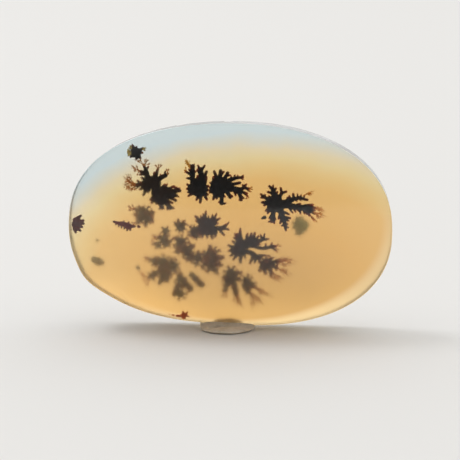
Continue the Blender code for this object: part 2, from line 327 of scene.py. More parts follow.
# Behind the rim, the ground girdle is golden low down and bluish higher up, and the back is near white.
place = add_node(tree, "SeparateXYZ", {}, {"Vector": where})
rim_y = stone_low.y + DOME_RISE
past_rim = add_node(tree, "MapRange", {}, {
    "Value": place.outputs["Y"], "From Min": rim_y * MM, "From Max": (rim_y + FADE_BEHIND_RIM) * MM,
})
past_girdle = add_node(tree, "MapRange", {}, {
    "Value": place.outputs["Y"],
    "From Min": (stone_high.y - 2 * BACK_BEVEL) * MM,
    "From Max": (stone_high.y - BACK_BEVEL) * MM,
})
up_girdle = add_node(tree, "MapRange", SMOOTH, {
    "Value": place.outputs["Z"],
    "From Min": (stone_middle.z - GIRDLE_BLEND) * MM,
    "From Max": (stone_middle.z + GIRDLE_BLEND) * MM,
})
girdle_tint = add_node(tree, "ValToRGB", {}, {"Fac": up_girdle})
colour_ramp(girdle_tint, GIRDLE_COLOURS)
ground_girdle = add_node(
    tree, "Mix", MIX_COLOURS, {"Factor": past_girdle, "A": girdle_tint, "B": linear(BACK_COLOUR)}
)
stone_colour = add_node(tree, "Mix", MIX_COLOURS, {"Factor": past_rim, "A": lit_body, "B": ground_girdle})
tree.links.new(stone_colour.outputs["Result"], shader.inputs["Base Color"])

# Faint rings of the polishing wheel catch the light near the upper rim.
polishing_lines = add_node(tree, "TexNoise", {"noise_dimensions": "1D"}, {
    "W": honey_reach, "Scale": POLISHING_LINES, "Detail": 1.0,
})
near_rim = add_node(tree, "MapRange", {}, {"Value": honey_reach, "From Min": 0.80, "From Max": 0.95})
polish = add_node(tree, "Bump", {}, {
    "Strength": near_rim, "Distance": POLISHING_DEPTH * MM, "Height": polishing_lines,
})
tree.links.new(polish.outputs["Normal"], shader.inputs["Coat Normal"])

cut_stone = stone_shape()
inner_sight = BVHTree.FromBMesh(cut_stone)
for angle in CHIP_ANGLES:
    outwards = Vector((math.cos(math.radians(angle)), 0.0, math.sin(math.radians(angle))))
    back_edge = stone_middle + outwards * stone_size.x
    back_edge.y = stone_high.y - BACK_BEVEL
    chip, _, _, _ = inner_sight.ray_cast(back_edge, -outwards)
    for corner in cut_stone.verts:
        nearness = 1 - (corner.co - chip).length / CHIP_RADIUS
        if nearness > 0:
            bite = CHIP_BITE * min(1.0, 2 * nearness)
            bite *= 0.6 + 0.8 * noise.noise(corner.co / (CHIP_GRAIN * CHIP_RADIUS))
            corner.co -= (outwards + Vector((0.0, CHIP_SLANT, 0.0))) * bite
stone = finished_piece("dendritic_agate_cabochon", cut_stone, agate)
stone.data.shade_smooth()
stone.data.set_sharp_from_angle(angle=math.radians(40))
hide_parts("agate_front", "agate_back")

# The black moss: sprays of manganese oxide that crept along one slanting crack, close under the dome at
# the top of the stone and near the back at the bottom. Each is a solid heart with stubby, rounded
# shoots, fused into one piece.
CRACK_DEPTH = 1.25
CRACK_FALL = 0.41
CRACK_LEFT_FALL = 0.20
CRACK_LEAST = 0.50
CRACK_MOST = 3.40
CRACK_TO_BACK = 0.80
SIGHT_STEPS = 3
GRAIN_FLATNESS = 0.45
FINE_GRAIN_FLATNESS = 0.8
FINE_GRAIN = 1.5
GRAIN_SPACING = 0.55
ROUNDER_FROM = (1.2, 2.5)
TWIG_RADIUS = 0.85
TWIG_GAP = 4.0
BUD_LENGTH = 2.2
TIP_RADII = (1.0, 2.2)
TIP_FAN = (-0.55, 0.0, 0.5)
SWELL = 0.28
SWOLLEN_RADII = (0.5, 2.6)
FRINGED_HEART = 0.84
MOSS_VOXEL = 0.036
MOSS_SMOOTHING = 1
NEAREST_GRAINS = 8
# How far into the agate the painted haze on back-facing sides builds up.
VEIL_DEPTH = 9.0


def inside(pixel_x, pixel_y, deeper, under_dome=None):
    """The place that a pixel shows through the dome, where sight bends: on the crack or that much deeper,
    or else at a fixed depth under the dome."""
    sight = (looked_at + offset_in_view(pixel_x, pixel_y) - eye).normalized()
    entry, normal, _, _ = inner_sight.ray_cast(eye, sight)
    ratio = 1 / AGATE_IOR
    facing = -sight.dot(normal)
    bent = ratio * sight + (ratio * facing - math.sqrt(1 - ratio**2 * (1 - facing**2))) * normal
    place = entry
    for _ in range(SIGHT_STEPS):
        dome, _, _, _ = inner_sight.ray_cast(Vector((place.x, eye.y, place.z)), Vector((0.0, 1.0, 0.0)))
        across, up = place.x - stone_middle.x, place.z - stone_middle.z
        depth = CRACK_DEPTH - CRACK_FALL * up - CRACK_LEFT_FALL * across
        sheet_y = min(stone_high.y - CRACK_TO_BACK, dome.y + min(CRACK_MOST, max(CRACK_LEAST, depth)))
        if under_dome is not None:
            sheet_y = dome.y + under_dome
        place = entry + bent * (sheet_y + deeper - entry.y) / bent.y
    return place


class Moss:
    """One spray while it grows. Sizes across the face are in photo pixels, depths in millimetres."""

    def __init__(self, seed, deeper, under_dome=None):
        self.chance = random.Random(seed)
        self.deeper = deeper
        self.under_dome = under_dome
        self.shape = bmesh.new()
        self.row_mesh = bpy.data.meshes.new("row_of_grains")
        self.grains = []

    def row_of_grains(self, grains):
        """Adds rounded grains, each as (x, y, radius, dive, tip). They overlap and are fused later."""
        row = bmesh.new()
        for x, y, radius, dive, tip in grains:
            radius += SWELL if SWOLLEN_RADII[0] < radius < SWOLLEN_RADII[1] else 0.0
            middle = inside(x, y, self.deeper + dive, self.under_dome)
            flatness = GRAIN_FLATNESS if radius > FINE_GRAIN else FINE_GRAIN_FLATNESS
            flattened = Matrix.Diagonal((1.0, flatness, 1.0, 1.0))
            bmesh.ops.create_icosphere(
                row,
                subdivisions=1 + sum(radius > least for least in ROUNDER_FROM),
                radius=radius * PIXEL,
                matrix=Matrix.Translation(middle) @ flattened,
            )
            self.grains.append((middle, radius * PIXEL, tip))
        row.to_mesh(self.row_mesh)
        row.free()
        self.shape.from_mesh(self.row_mesh)

    def branch(self, start, end, radii, dives, tips, bend=0.0):
        """A row of grains along a slightly bent line."""
        run = Vector((end[0] - start[0], end[1] - start[1]))
        aside = Vector((-run.y, run.x)) * bend
        steps = max(2, int(run.length / (GRAIN_SPACING * min(radii))))
        grains = []
        for step in range(steps + 1):
            share = step / steps
            bow = math.sin(math.pi * share)
            x = start[0] + run.x * share + aside.x * bow
            y = start[1] + run.y * share + aside.y * bow
            radius = radii[0] + (radii[1] - radii[0]) * share
            dive = dives[0] + (dives[1] - dives[0]) * share
            grains.append((x, y, radius, dive, tips[0] + (tips[1] - tips[0]) * share))
        self.row_of_grains(grains)

    def twig(self, start, heading, length, dive, tip):
        """A short rounded shoot, often with a bud at its side."""
        end = (start[0] + math.cos(heading) * length, start[1] + math.sin(heading) * length)
        dive_end = dive + self.chance.uniform(-0.06, 0.06)
        radius = TWIG_RADIUS * self.chance.uniform(0.9, 1.15)
        self.branch(start, end, (radius, radius), (dive, dive_end), (tip, 1.0))
        side = self.chance.choice((-1, 1))
        for share, least in ((0.75, 3.0), (0.5, 4.6)):
            if length < least:
                continue
            fork = (start[0] + (end[0] - start[0]) * share, start[1] + (end[1] - start[1]) * share)
            turn = heading + side * self.chance.uniform(0.8, 1.2)
            bud_length = BUD_LENGTH * self.chance.uniform(0.8, 1.3)
            bud = (fork[0] + math.cos(turn) * bud_length, fork[1] + math.sin(turn) * bud_length)
            self.branch(fork, bud, (radius * 0.9, radius * 0.85), (dive_end, dive_end), (0.7, 1.0))
            side = -side

    def stem(self, x0, y0, x1, y1, wide, narrow, twig_length=0.0):
        """A branch or a single shoot. With a twig length it has twigs on both sides and at its tip."""
        run = Vector((x1 - x0, y1 - y0))
        heading = math.atan2(run.y, run.x)
        bend = self.chance.uniform(-0.05, 0.05)
        dive = self.chance.uniform(-0.08, 0.10)
        tip = min(1.0, max(0.0, (TIP_RADII[1] - narrow) / (TIP_RADII[1] - TIP_RADII[0])))
        self.branch((x0, y0), (x1, y1), (wide, narrow), (0.0, dive), (0.0, tip), bend)
        if not twig_length:
            return
        along = TWIG_GAP * self.chance.uniform(0.4, 0.9)
        side = self.chance.choice((-1, 1))
        while along < run.length - 0.5:
            share = along / run.length
            bow = math.sin(math.pi * share) * bend
            x = x0 + run.x * share - run.y * bow
            y = y0 + run.y * share + run.x * bow
            reach = (wide + (narrow - wide) * share) + twig_length * self.chance.uniform(0.8, 1.2)
            lean = side * self.chance.uniform(0.85, 1.05)
            self.twig((x, y), heading + lean, reach, dive * share, 0.2)
            along += TWIG_GAP * 0.5 * self.chance.uniform(0.9, 1.15)
            side = -side
        for lean in TIP_FAN:
            turn = heading + lean + self.chance.uniform(-0.12, 0.12)
            self.twig((x1, y1), turn, twig_length * 0.9, dive, 0.5)

    def lump(self, x, y, radius, fringe=0.0):
        """A solid heart, with short shoots all round it where it has a fringe."""
        self.row_of_grains([(x, y, radius * (FRINGED_HEART if fringe else 1.0), 0.0, 0.0)])
        shoots = int(2 * math.pi * radius / TWIG_GAP)
        start = self.chance.uniform(0.0, math.pi)
        for shoot in range(shoots if fringe else 0):
            heading = start + 2 * math.pi * shoot / shoots + self.chance.uniform(-0.12, 0.12)
            foot = (x + math.cos(heading) * radius * 0.6, y + math.sin(heading) * radius * 0.6)
            length = radius * 0.4 + 1.3 * fringe * self.chance.uniform(0.7, 1.2)
            self.twig(foot, heading, length, self.chance.uniform(-0.05, 0.05), 0.2)

    def fused(self, name, material, voxel, veil):
        """The spray as one closed piece, with its painted haze for how deep it lies and how near a tip
        kept on its points.
        """
        draft_mesh = bpy.data.meshes.new(name + "_draft")
        self.shape.to_mesh(draft_mesh)
        self.shape.free()
        draft = bpy.data.objects.new(name + "_draft", draft_mesh)
        bpy.context.scene.collection.objects.link(draft)
        remesh = draft.modifiers.new("fuse", "REMESH")
        remesh.mode = "VOXEL"
        remesh.voxel_size = voxel
        remesh.use_smooth_shade = True
        fused_mesh = draft.evaluated_get(bpy.context.evaluated_depsgraph_get()).to_mesh()
        shape = bmesh.new()
        shape.from_mesh(fused_mesh)
        bpy.data.objects.remove(draft, do_unlink=True)
        for _ in range(MOSS_SMOOTHING):
            bmesh.ops.smooth_vert(
                shape, verts=shape.verts, factor=0.5, use_axis_x=True, use_axis_y=True, use_axis_z=True
            )
        nearest = KDTree(len(self.grains))
        for index, (middle, _, _) in enumerate(self.grains):
            nearest.insert(middle, index)
        nearest.balance()
        shape.normal_update()
        tips = []
        veils = []
        for corner in shape.verts:
            found = nearest.find_n(corner.co, NEAREST_GRAINS)
            around = [(far - self.grains[index][1], index) for _, index, far in found]
            tips.append(self.grains[min(around)[1]][2])
            # Painted haze: each point gets the spray's veil, and sides that face the back are veiled
            # instead by the agate behind them, more the further they lie from the back.
            behind = max(0.0, stone_high.y - corner.co.y)
            towards_back = 0.5 + 0.5 * max(-1.0, min(1.0, corner.normal.y * 2))
            back_veil = 1 - math.exp(-behind / VEIL_DEPTH)
            veils.append(veil + (back_veil - veil) * towards_back)
        piece = finished_piece(name, shape, material)
        piece.data.shade_smooth()
        for attribute_name, numbers in (("tip", tips), ("veil", veils)):
            attribute = piece.data.attributes.new(attribute_name, "FLOAT", "POINT")
            attribute.data.foreach_set("value", numbers)
        return piece


# Manganese oxide is dull and black, and thins to red-brown at the twig tips. The haze of the agate in
# front of the deeper sprays is painted into their colour: a painted veil of scattered light lifts them to
# grey, and the deepest to a greenish white.
MOSS_TINT = ((0.25, "070505"), (0.65, "4C1C08"), (1.0, "B4561A"))
PAINTED_HAZE_TINT = ((0.1, "B4946E"), (0.26, "C0CCA8"), (0.42, "C8E2D0"), (0.74, "CAFCFC"), (0.9, "DCF0F6"))

moss_black, tree, shader = new_material("manganese_moss", Roughness=0.8)
shader.inputs["Specular IOR Level"].default_value = 0.1
tip = add_node(tree, "Attribute", {"attribute_name": "tip"}).outputs["Fac"]
veil_amount = add_node(tree, "Attribute", {"attribute_name": "veil"}).outputs["Fac"]
tint = add_node(tree, "ValToRGB", {}, {"Fac": tip})
colour_ramp(tint, MOSS_TINT)
haze = add_node(tree, "ValToRGB", {}, {"Fac": veil_amount})
colour_ramp(haze, PAINTED_HAZE_TINT)
veiled = add_node(tree, "Mix", MIX_COLOURS, {"Factor": veil_amount, "A": tint, "B": haze})
tree.links.new(veiled.outputs["Result"], shader.inputs["Base Color"])


def grow(name, seed, veil, lumps=(), stems=(), deeper=0.0, node=None):
    """Grows one spray of moss as a finished piece, in place of its node of the CAD if it has one."""
    moss = Moss(seed, deeper)
    for lump in lumps:
        moss.lump(*lump)
    for stem in stems:
        moss.stem(*stem)
    piece = moss.fused(name, moss_black, MOSS_VOXEL, veil)
    if node:
        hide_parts(node)


# Each spray has its seed and how much painted haze veils it, its lumps as (x, y, radius, fringe), and its
# shoots as (x, y of the foot, x, y of the tip, radius at the foot, radius at the tip, length of its
# twigs).
grow("moss_hedgehog_top_left", 11, veil=0.0, node="spray_hedgehog_top_left", lumps=[
    (136, 152.8, 4.6), (138.8, 150.8, 3), (133.8, 154.4, 3.4), (137.8, 155.6, 3.2), (134, 150.6, 3),
], stems=[
    (134.5, 149.5, 132.2, 144.8, 1.7, 0.9), (136.5, 149.5, 136.4, 146.6, 1.4, 0.8),
    (140, 150, 142.8, 148.3, 1.7, 1.1), (140.5, 152.5, 142.6, 152.8, 1.4, 0.9),
    (139.5, 156.5, 140.6, 158.4, 1.4, 0.9), (136.5, 157, 136, 159.4, 1.4, 1),
    (132.8, 155.8, 130.4, 157, 1.4, 0.9), (132.2, 151.6, 129, 151.4, 1.3, 0.8),
    (132.4, 153.6, 129.6, 154.6, 1.1, 0.7), (132.6, 149.4, 130.2, 148.4, 1.1, 0.7),
])
grow("moss_upper_left", 12, veil=0.03, node="spray_upper_left", lumps=[
    (149.5, 182.5, 7), (155, 183.5, 6.2), (146.8, 186.6, 5), (153, 179, 3.6), (161, 195.4, 7.6),
    (166.5, 193, 6.4), (156.4, 192.6, 5.6), (157, 199, 4.6), (164.5, 200.8, 4.6),
], stems=[
    (147.6, 178, 145.6, 169.4, 3, 2), (145.6, 170, 143.4, 164.6, 1.6, 1),
    (146, 172.6, 139.8, 171.2, 1.9, 1.1), (145.4, 174.4, 139.6, 174.6, 1.5, 0.9),
    (146.6, 169, 148.4, 166.4, 1.2, 0.8), (154, 177, 154.3, 172.4, 1.5, 0.9),
    (155.6, 177, 158.2, 168, 2.1, 1), (158.4, 179.6, 165.6, 175.6, 2.6, 1.9),
    (164.6, 175.4, 165.2, 171.2, 1.2, 0.8), (166, 175.6, 168.4, 173.4, 1, 0.8),
    (160.6, 177.4, 160.2, 174.4, 1.1, 0.8), (163, 177.6, 162.7, 174.8, 1, 0.7),
    (161.6, 188, 165, 184.6, 1.6, 1), (165.4, 187.2, 167.2, 184.2, 1.1, 0.8),
    (168.6, 189.6, 174, 186.2, 1.7, 1), (170, 191.6, 176, 191, 3, 2.2),
    (175.6, 190.8, 179.8, 190.7, 1.8, 1.6), (174.6, 189.6, 176.6, 187.2, 1.2, 0.8),
    (177, 189.8, 179.8, 187.8, 1, 0.7), (170, 195.4, 176.4, 195.2, 2.6, 1.5),
    (175.4, 195.6, 178.6, 196.6, 1.2, 0.8), (169, 197, 175.6, 200.4, 2, 1.4),
    (166, 200, 172.8, 203.1, 2, 0.9), (166.6, 202.6, 170, 208, 2.4, 1.9),
    (170, 206.8, 173.6, 208.4, 1.5, 1), (167.6, 205.6, 167.4, 209.6, 1.3, 0.9),
    (162, 203, 161.8, 208.6, 2, 1.2), (160.6, 207, 159.2, 209.2, 1, 0.8),
    (163, 206.6, 164, 208.8, 0.9, 0.7), (154.6, 198.6, 151.4, 203.2, 1.8, 1),
    (153, 196.6, 150.2, 199.8, 1.4, 0.9), (156.6, 202, 156.4, 204.2, 1.3, 0.9),
    (159, 203.4, 159.6, 205.4, 1.2, 0.9), (149.6, 189.6, 148, 192.4, 1.4, 0.9),
    (146, 189.4, 143.5, 194.8, 1.9, 1.3), (143.6, 187, 139.8, 189.4, 1.8, 1),
    (143, 185, 135.4, 184.4, 2.2, 1.1), (139.6, 183.4, 137.4, 180.6, 1.3, 0.9),
    (138.6, 186, 136.4, 188.6, 1.1, 0.8), (135.8, 184.6, 133.4, 183.2, 0.9, 0.7),
    (136, 185.4, 133.8, 187.2, 0.9, 0.6), (145, 179, 141.6, 177.8, 1.6, 1),
    (144, 182, 141.2, 182.4, 1.7, 1.1),
])
grow("moss_upper_middle_left", 13, veil=0.0, node="spray_upper_middle_left", lumps=[
    (197.4, 188.6, 7.8), (202.4, 188.6, 5.6), (192.6, 188, 5), (197.6, 183, 5.4), (201.4, 181, 3.8),
    (199.4, 193, 4.4),
], stems=[
    (193, 183, 192.6, 174, 3, 2.5), (192.6, 174, 192.6, 165.6, 2.4, 1.6),
    (191.6, 171.2, 188.8, 169.4, 1.2, 0.9), (191.2, 174.6, 186, 171.6, 1.6, 1),
    (191, 178.8, 186.8, 178.2, 1.5, 0.9), (194, 173, 195.6, 171.4, 1.2, 0.9),
    (194, 167.4, 194.2, 164.4, 1, 0.8), (191.4, 167, 190.2, 164.8, 1, 0.8), (201, 181, 201, 173, 2.9, 2.5),
    (200.8, 174, 200.6, 168.4, 2.2, 1.4), (200, 169.8, 198, 165.4, 1.2, 0.9),
    (201.8, 169.8, 204.8, 165.4, 1.3, 0.9), (199.2, 173, 197.4, 169.4, 1.2, 0.9),
    (197.8, 180, 197.5, 176.2, 1.4, 1.1), (203.6, 180, 206.6, 171.6, 2, 1.3),
    (204.4, 185, 206.6, 177.4, 1.5, 1), (205, 187, 208.2, 186, 1.7, 1.1),
    (205.6, 190, 208.4, 190.2, 1.6, 1.1), (205, 192.6, 207.6, 194.6, 1.4, 1),
    (203.6, 193.6, 206.8, 199.4, 1.9, 1.1), (200.6, 195, 200.2, 202.4, 1.9, 1.2),
    (198.4, 194.6, 196.4, 199.8, 1.9, 1), (194.4, 192.6, 188.2, 196, 1.8, 0.9),
    (190, 186.4, 187.2, 184.4, 1.6, 1), (189.6, 189.2, 187, 188.8, 1.6, 1.1),
    (190.6, 191.6, 187.6, 192.2, 1.3, 0.9),
])
grow("moss_upper_middle_right", 14, veil=0.0, node="spray_upper_middle_right", lumps=[
    (217.6, 188.4, 7.8), (216, 183, 5), (222.6, 186, 6), (213.6, 190, 4.4), (216.6, 194, 4.2),
    (227.6, 186.4, 4.6),
], stems=[
    (217, 180, 214.2, 171.6, 1.8, 1.3), (213.8, 182, 213.2, 177.2, 1.5, 1),
    (219.8, 180, 220.6, 170.8, 2.3, 1.7), (221.6, 174.6, 224, 171.6, 1.1, 0.9),
    (223, 180, 227.8, 172.8, 2.1, 1.5), (226, 176.4, 230.2, 175.2, 1.1, 0.8),
    (224, 182, 235, 178.2, 2.4, 1.9), (235, 178.2, 242.8, 177.2, 1.6, 1.1),
    (231, 179, 231.2, 176.2, 1, 0.8), (234.6, 177.8, 234.8, 175.2, 1.1, 0.8),
    (238, 177.6, 237.6, 175.4, 0.9, 0.7), (240.6, 177.4, 243.2, 175.4, 0.9, 0.8),
    (241, 177.8, 243, 179.2, 0.9, 0.8), (229, 184.8, 239.8, 182.8, 1.9, 1.4),
    (226, 187.6, 239, 189.8, 4, 2.8), (238, 189.4, 246, 187.8, 1.9, 1.3),
    (242.4, 188, 246.6, 184.2, 1.1, 0.9), (243, 187.4, 242.6, 184.8, 1, 0.8),
    (245.4, 188, 249.4, 188.6, 1.2, 0.9), (246.4, 188.6, 249, 191.2, 1, 0.8),
    (240.6, 191.6, 247, 193.4, 1.7, 1), (243.6, 192.8, 247.8, 196, 1, 0.8),
    (239, 192, 241.2, 200, 2.3, 1.4), (240.6, 195.6, 244, 198.4, 1.1, 0.8),
    (240.6, 198, 239.2, 200.2, 1, 0.8), (234.6, 191.6, 235.7, 195.4, 1.3, 0.9),
    (226.8, 191.6, 230.2, 197.4, 2.1, 1.5), (228.6, 193.6, 232.4, 196.6, 1.1, 0.9),
    (222, 193, 221.6, 203.4, 2.4, 1.8), (220.8, 200.6, 218.8, 202.4, 1, 0.8),
    (222.6, 203.8, 225.6, 203.2, 1, 0.9), (222.8, 195, 225, 196.8, 1.1, 0.8),
    (215, 195, 213.2, 199.2, 1.8, 1.1), (217, 196.6, 216.6, 198.8, 1.2, 0.9),
    (212.4, 184.6, 210.2, 182.6, 1.4, 0.9), (211.8, 187.8, 209.6, 187.4, 1.4, 0.9),
    (211.8, 191.2, 209.4, 192.8, 1.4, 0.9),
])
grow("moss_upper_right", 15, veil=0.0, node="spray_upper_right", lumps=[
    (274.6, 202.6, 7.6), (278.6, 206.8, 6), (272, 206.6, 5.2), (277.6, 198.6, 4.4), (270.8, 200.8, 4.2),
    (284, 203.8, 4.4),
], stems=[
    (274, 197, 272.8, 190.4, 2.6, 2), (272.6, 190.4, 269.5, 186.3, 1.4, 1.3),
    (272.8, 189.6, 273.2, 185.2, 1.2, 0.8), (274, 191, 276, 188.2, 1.2, 0.9),
    (272.4, 193.4, 268.2, 192, 1.4, 1.2), (275.6, 194.6, 277.2, 192.2, 1.3, 1),
    (278.6, 198, 281.4, 193.6, 2.2, 1.6), (281.4, 193.4, 280.6, 188.2, 1.3, 1.1),
    (281.8, 193.2, 286.4, 191.6, 1.4, 1), (270.6, 200.4, 263.4, 196.8, 2.1, 1.5),
    (263.6, 196.8, 261, 194.4, 1.3, 1.1), (264.4, 197, 265, 194.6, 1.2, 0.9),
    (264, 197.2, 261, 197.8, 1.1, 0.9), (270.8, 198.4, 269, 196.4, 1.3, 1),
    (269.6, 202.8, 262.2, 202.4, 2.4, 1.3), (266, 203.6, 264.2, 205.4, 1.5, 1),
    (270, 206.6, 266, 210.6, 1.8, 1.1), (270.4, 209.4, 267.6, 213.4, 1.5, 0.9),
    (273.4, 210, 272.4, 218.6, 2.4, 2.1), (272.2, 218, 271.4, 222, 1.7, 1.1),
    (273, 219.4, 274.4, 223.2, 1.3, 0.9), (271.2, 221, 268.6, 221.9, 0.9, 0.8),
    (274, 216.4, 275.6, 219.6, 1.1, 0.8), (271, 215.6, 269.3, 218.4, 1.1, 0.8),
    (280.6, 210, 283.8, 220, 3.3, 2.4), (283.8, 220, 285.2, 226.4, 2.1, 1.6),
    (285.2, 226, 286, 230.6, 1.5, 0.9), (280.4, 214, 278.6, 218.6, 1.3, 1),
    (281.8, 218.6, 280.2, 223.2, 1.3, 1), (284, 224.6, 281.8, 225.8, 1, 0.8),
    (284.4, 212.4, 289, 214.4, 1.4, 0.9), (285, 217.2, 290, 218.2, 1.5, 1.1),
    (285.2, 219.6, 288.6, 220.8, 1, 0.8), (285.6, 223.4, 287.8, 224.2, 1, 0.8),
    (286, 227.2, 288.4, 227.4, 1, 0.7), (284, 202.6, 292, 199.8, 2.7, 2.3),
    (291.6, 199.8, 300, 197.6, 2, 1.6), (300, 197.6, 307.2, 199.8, 1.5, 1.2),
    (286.8, 200.6, 287.2, 197.4, 0.9, 0.7), (290, 200, 289.3, 195.8, 1.2, 0.9),
    (293.6, 198.6, 293.2, 194.2, 1.4, 1.2), (297.4, 197.6, 297.5, 194, 0.9, 0.7),
    (300.8, 197, 301.2, 194.8, 0.9, 0.7), (303.6, 198, 304.6, 195.8, 0.9, 0.7),
    (295.6, 199.4, 296.8, 201.2, 1, 0.8), (299.6, 198.4, 300.8, 200.4, 1, 0.7),
    (284, 205.2, 294, 206.2, 3.4, 2.7), (293, 206.2, 303, 207.6, 2.3, 2.5),
    (303, 207.8, 310.8, 209.6, 2.8, 2.5), (296, 205.4, 300.4, 203.8, 1.2, 0.9),
    (303, 206, 313.2, 204.6, 1.4, 0.9), (309.6, 207.8, 315.4, 207.2, 1.3, 0.8),
    (311, 209.8, 315, 210.6, 1.2, 0.8), (310.6, 211.4, 314.4, 214, 1.2, 0.8),
    (308.8, 211.4, 309.4, 215.4, 1.4, 1.1), (306.6, 211, 306.9, 214.2, 1.1, 0.8),
    (289.4, 208, 292.7, 212.8, 1, 0.8), (292.6, 208, 295.6, 212, 1, 0.8),
    (296.4, 208.4, 298, 210.8, 1, 0.7), (299.8, 209.4, 300.3, 213.8, 1.2, 0.8),
    (303.2, 209.8, 304.6, 213.8, 1.1, 0.8),
])
grow("moss_fleck_upper_right", 16, veil=0.0, lumps=[
    (264.6, 217.4, 1.8), (263.2, 218, 1.4), (261.8, 218.4, 0.9),
])

# The brown moss half way down: the same mineral deeper in the stone, softened by painted haze.
grow("moss_centre", 11, veil=0.1, node="spray_centre", lumps=[
    (204.6, 225.6, 6.6), (209.6, 229, 6.2), (204, 230.6, 4.8), (210.6, 222.8, 4.6), (213.6, 231.2, 3.8),
], stems=[
    (200.4, 221, 195.4, 216.2, 1.8, 1), (199.6, 223, 195.8, 220.6, 1.5, 0.9),
    (202, 220.4, 200.6, 216, 1.1, 0.8), (205.4, 220, 206, 211.2, 1.6, 0.8),
    (203.8, 220, 203, 213.8, 1, 0.7), (208.6, 219.4, 208.8, 216, 0.9, 0.7),
    (211, 220, 212.6, 214.8, 1.3, 0.8), (213, 221, 216.6, 213.8, 1.4, 0.8),
    (214.6, 222, 220, 218.4, 1.5, 0.9), (213.6, 224.4, 218, 223.4, 1.4, 0.9),
    (213.6, 228.6, 224.6, 228.2, 2.5, 1.8), (221.6, 227.6, 226.6, 224.2, 1.2, 0.9),
    (226, 226, 228.8, 222.2, 0.8, 0.6), (224.6, 228.4, 228.8, 229.6, 1.3, 0.9),
    (220, 230, 223.8, 235, 1.6, 1.1), (216, 232, 215, 236.8, 1.6, 1), (211.4, 234, 212.4, 238.6, 1.6, 1),
    (207.4, 234.6, 207.2, 237.6, 1.4, 1), (202.8, 234, 202, 237.4, 1.3, 1),
])
grow("moss_centre_shadowed_lobe", 12, veil=0.22, deeper=0.3, lumps=[
    (194.4, 231.4, 5.4, 0.8), (198.4, 229.6, 4.2), (196.4, 235.4, 3.6, 0.8),
])
grow("moss_lower_centre", 13, veil=0.09, node="spray_lower_centre", lumps=[
    (241.6, 245.6, 6.4), (247.6, 243.4, 5.4), (236.6, 250.2, 6), (241.4, 250.6, 5), (252.4, 242.4, 4.2),
    (233.8, 248.8, 3.6),
], stems=[
    (241, 241, 240.3, 228.6, 2.4, 0.9), (239, 236.4, 237.4, 233.6, 1.1, 0.8),
    (238, 242.4, 235.2, 234, 1.9, 1), (236.4, 243.6, 232.6, 241.4, 1.4, 1),
    (236.4, 239, 233.6, 237.6, 1.1, 0.8), (246.6, 239.6, 247.6, 233.6, 1.6, 0.9),
    (250, 239.4, 251.6, 233.2, 1.6, 0.9), (253, 239.4, 254.8, 233, 1.6, 1),
    (255, 240.6, 258.4, 236.2, 1.4, 0.9), (255.6, 241.6, 263.4, 239.4, 2.1, 1.6),
    (262, 239.4, 260.6, 234.6, 1.1, 0.8), (263.6, 239.2, 264.5, 234, 1.1, 0.8),
    (263.6, 239.6, 268.8, 239, 1.3, 0.8), (254.6, 244, 259.8, 244.4, 1.6, 1),
    (250, 245.6, 257, 247.2, 2, 1.7), (256.6, 247.2, 263, 248.4, 1.7, 1.6),
    (262.6, 248.4, 270.6, 246.8, 1.7, 1.6), (270.4, 246.8, 275.8, 246, 1.5, 1),
    (266, 247, 265.6, 244, 1, 0.8), (271.4, 246.6, 272, 243.2, 1.1, 0.8),
    (272, 247.6, 275.8, 250.8, 1.1, 0.8), (246.6, 251.6, 252.6, 253.4, 2.4, 2.2),
    (252, 253.8, 258, 258, 2.7, 2.1), (257.4, 256.6, 264.8, 255.4, 2, 1.1),
    (252.4, 257.4, 250, 263.4, 1.5, 1), (255.4, 258.8, 254.6, 263, 1.3, 0.9),
    (258.6, 258.6, 260.6, 262, 1.3, 0.9), (241.4, 254, 240.4, 262.6, 2.2, 1.3),
    (244.4, 254, 245.4, 258.4, 1.1, 0.8), (236.4, 255, 233.4, 259.4, 1.8, 1.1),
    (231.8, 247, 228.6, 245.4, 1.6, 1.1), (231.6, 250.6, 228.8, 250.8, 1.5, 1),
    (233, 253.6, 230.4, 256, 1.4, 1),
])
grow("moss_lower_right_lobe", 14, veil=0.2, node="spray_lower_right_lobe", lumps=[
    (265.6, 262.2, 5, 1.2), (270.8, 263.8, 4.8, 1.2), (266.6, 266.8, 4.2, 1.2), (262.8, 265, 3.6, 1),
], stems=[
    (273.6, 262.2, 278.6, 261, 2, 1.2, 1.2), (273, 266, 276.4, 269, 1.8, 1.1, 1),
    (269.4, 268.6, 271, 274.6, 2, 1.2, 1.2), (265, 269.6, 266, 273.4, 1.6, 1, 0.8),
    (261.6, 267.6, 259.4, 270.6, 1.5, 1, 0.8),
])
grow("moss_left_bush", 15, veil=0.36, node="spray_left_bush", lumps=[
    (145, 213.8, 6.2, 1.2), (146.4, 217.6, 5, 1.2), (141.4, 217, 4.2, 1.2),
], stems=[
    (143, 210, 138.6, 207, 1.6, 1, 0.8), (144, 210, 142.6, 206.6, 1.4, 0.9),
    (141, 211.6, 134.4, 209, 1.7, 1, 1), (149, 212.6, 153.8, 212.4, 1.8, 1.1, 0.8),
    (146.4, 220, 146, 226, 2, 1.3, 1), (149, 218.6, 152.4, 222, 1.6, 1, 1),
    (141, 219, 136.6, 224, 1.8, 1.1, 1), (140, 215, 134.6, 214.8, 1.5, 0.9, 1),
])
grow("moss_round_bud", 16, veil=0.34, node="spray_round_bud", lumps=[(180.6, 227.2, 5.2, 0.7)], stems=[
    (179, 223, 177.8, 219.2, 1.4, 0.9), (177, 225, 174.2, 222, 1.3, 0.8),
    (183, 223.6, 184.6, 220.8, 1.4, 1),
])
